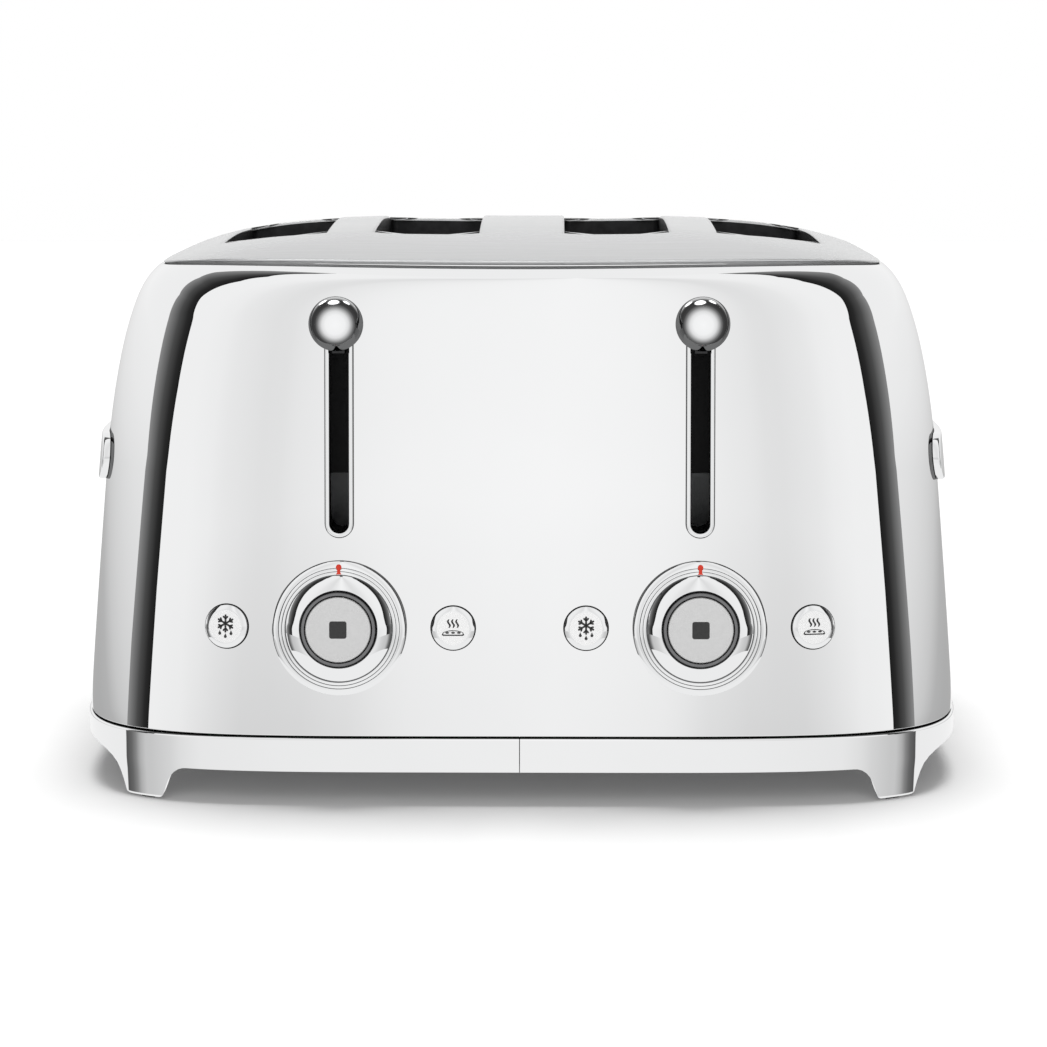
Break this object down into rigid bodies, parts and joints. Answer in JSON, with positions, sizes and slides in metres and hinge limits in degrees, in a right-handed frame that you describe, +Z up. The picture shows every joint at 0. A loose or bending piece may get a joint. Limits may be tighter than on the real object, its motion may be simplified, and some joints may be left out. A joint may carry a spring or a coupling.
{
  "type": "four-slice toaster",
  "caption": "Countertop toaster with parallel bread slots, sliding lift levers, browning dials and push buttons in a polished steel body on a footed base ring.",
  "frame": {"origin": "middle of the bounding box on the surface that the toaster stands on", "axes": "+X to the right seen from the front, +Z up, and the front with the levers and dials faces -Y"},
  "size_m": [0.332, 0.3164, 0.2066],
  "materials": {
    "polished_steel": "mirror polished",
    "brushed_top": "fine satin brushing",
    "trim_chrome": "bright plated",
    "ball_chrome": "pearl chrome plated",
    "chassis_steel": "galvanised sheet",
    "black_steel": "blackened steel",
    "bright_wire": "bright steel wire",
    "mica": "mica sheet",
    "black_plastic": "matt black",
    "dark_ring": "dark grey gloss",
    "button_grey": "satin light grey",
    "button_silver": "satin silver",
    "rubber": "moulded rubber",
    "circuit_board": "green lacquer",
    "magnet_iron": "lacquered core"
  },
  "bodies": {
    "root": {"body_shell": "polished_steel", "top_panel": "brushed_top", "bottom_plate": "chassis_steel", "base_ring_left": "polished_steel", "base_ring_right": "polished_steel", "foot_pad_front_left": "rubber", "foot_pad_front_right": "rubber", "foot_pad_rear_left": "rubber", "foot_pad_rear_right": "rubber", "side_badge_left": "trim_chrome", "side_badge_right": "trim_chrome", "cord_gland": "rubber", "chassis_front_plate": "chassis_steel", "chassis_rear_plate": "chassis_steel", "control_board": "circuit_board", "lever_bezel_left": "trim_chrome", "lever_bezel_right": "trim_chrome", "lever_gate_left": "black_plastic", "lever_gate_right": "black_plastic", "guide_rod_left": "bright_wire", "guide_rod_right": "bright_wire", "latch_magnet_left": "magnet_iron", "latch_magnet_right": "magnet_iron", "carriage_spring_left": "bright_wire", "carriage_spring_right": "bright_wire", "dial_hub_left": "dark_ring", "dial_hub_right": "dark_ring", "heater_board_left_outer": "mica", "heater_board_left_middle": "mica", "heater_board_left_inner": "mica", "heater_board_right_outer": "mica", "heater_board_right_middle": "mica", "heater_board_right_inner": "mica"},
    "lift_left": {"carriage_left": "black_steel", "lever_ball_left": "ball_chrome", "bread_rack_1": "bright_wire", "bread_rack_2": "bright_wire"},
    "lift_right": {"carriage_right": "black_steel", "lever_ball_right": "ball_chrome", "bread_rack_3": "bright_wire", "bread_rack_4": "bright_wire"},
    "guides_left_a": {"bread_guide_1_left": "bright_wire", "bread_guide_2_left": "bright_wire"},
    "guides_left_b": {"bread_guide_1_right": "bright_wire", "bread_guide_2_right": "bright_wire"},
    "guides_right_a": {"bread_guide_3_left": "bright_wire", "bread_guide_4_left": "bright_wire"},
    "guides_right_b": {"bread_guide_3_right": "bright_wire", "bread_guide_4_right": "bright_wire"},
    "dial_left": {"dial_left": "trim_chrome"},
    "dial_right": {"dial_right": "trim_chrome"},
    "stop_left": {"stop_button_left": "button_grey"},
    "stop_right": {"stop_button_right": "button_grey"},
    "defrost_left": {"defrost_button_left": "button_silver"},
    "defrost_right": {"defrost_button_right": "button_silver"},
    "reheat_left": {"reheat_button_left": "button_silver"},
    "reheat_right": {"reheat_button_right": "button_silver"},
    "tray_left": {"crumb_tray_left": "polished_steel"},
    "tray_right": {"crumb_tray_right": "polished_steel"}
  },
  "joints": [
    {"name": "lever_left", "type": "slide", "parent": "root", "child": "lift_left", "axis": [0, 0, -1], "range_m": [0, 0.0637], "stiffness_N_per_m": 60, "springref_m": -0.08, "deforming": ["carriage_spring_left"]},
    {"name": "lever_right", "type": "slide", "parent": "root", "child": "lift_right", "axis": [0, 0, -1], "range_m": [0, 0.0637], "stiffness_N_per_m": 60, "springref_m": -0.08, "deforming": ["carriage_spring_right"]},
    {"name": "guide_left_a", "type": "slide", "parent": "root", "child": "guides_left_a", "axis": [1, 0, 0], "range_m": [0, 0.007]},
    {"name": "guide_left_b", "type": "slide", "parent": "root", "child": "guides_left_b", "axis": [-1, 0, 0], "range_m": [0, 0.007]},
    {"name": "guide_right_a", "type": "slide", "parent": "root", "child": "guides_right_a", "axis": [1, 0, 0], "range_m": [0, 0.007]},
    {"name": "guide_right_b", "type": "slide", "parent": "root", "child": "guides_right_b", "axis": [-1, 0, 0], "range_m": [0, 0.007]},
    {"name": "dial_turn_left", "type": "hinge", "parent": "root", "child": "dial_left", "pos_m": [-0.06495, -0.14056, 0.0649], "axis": [0, -0.9971, 0.0763], "range_deg": [-135, 135]},
    {"name": "dial_turn_right", "type": "hinge", "parent": "root", "child": "dial_right", "pos_m": [0.06495, -0.14056, 0.0649], "axis": [0, -0.9971, 0.0763], "range_deg": [-135, 135]},
    {"name": "stop_press_left", "type": "slide", "parent": "root", "child": "stop_left", "axis": [0, 0.9971, -0.0763], "range_m": [0, 0.002], "stiffness_N_per_m": 300, "springref_m": -0.002},
    {"name": "stop_press_right", "type": "slide", "parent": "root", "child": "stop_right", "axis": [0, 0.9971, -0.0763], "range_m": [0, 0.002], "stiffness_N_per_m": 300, "springref_m": -0.002},
    {"name": "defrost_press_left", "type": "slide", "parent": "root", "child": "defrost_left", "axis": [0.1755, 0.9811, -0.082], "range_m": [0, 0.002], "stiffness_N_per_m": 300, "springref_m": -0.002},
    {"name": "reheat_press_left", "type": "slide", "parent": "root", "child": "reheat_left", "axis": [0.0004, 0.9971, -0.0763], "range_m": [0, 0.002], "stiffness_N_per_m": 300, "springref_m": -0.002},
    {"name": "defrost_press_right", "type": "slide", "parent": "root", "child": "defrost_right", "axis": [-0.0004, 0.9971, -0.0763], "range_m": [0, 0.002], "stiffness_N_per_m": 300, "springref_m": -0.002},
    {"name": "reheat_press_right", "type": "slide", "parent": "root", "child": "reheat_right", "axis": [-0.1755, 0.9811, -0.082], "range_m": [0, 0.002], "stiffness_N_per_m": 300, "springref_m": -0.002},
    {"name": "tray_slide_left", "type": "slide", "parent": "root", "child": "tray_left", "axis": [0, 1, 0], "range_m": [0, 0.2]},
    {"name": "tray_slide_right", "type": "slide", "parent": "root", "child": "tray_right", "axis": [0, 1, 0], "range_m": [0, 0.2]}
  ],
  "couplings": [
    {"joint": "guide_left_a", "follows": "lever_left", "ratio": 0.109},
    {"joint": "guide_left_b", "follows": "lever_left", "ratio": 0.109},
    {"joint": "guide_right_a", "follows": "lever_right", "ratio": 0.109},
    {"joint": "guide_right_b", "follows": "lever_right", "ratio": 0.109}
  ]
}
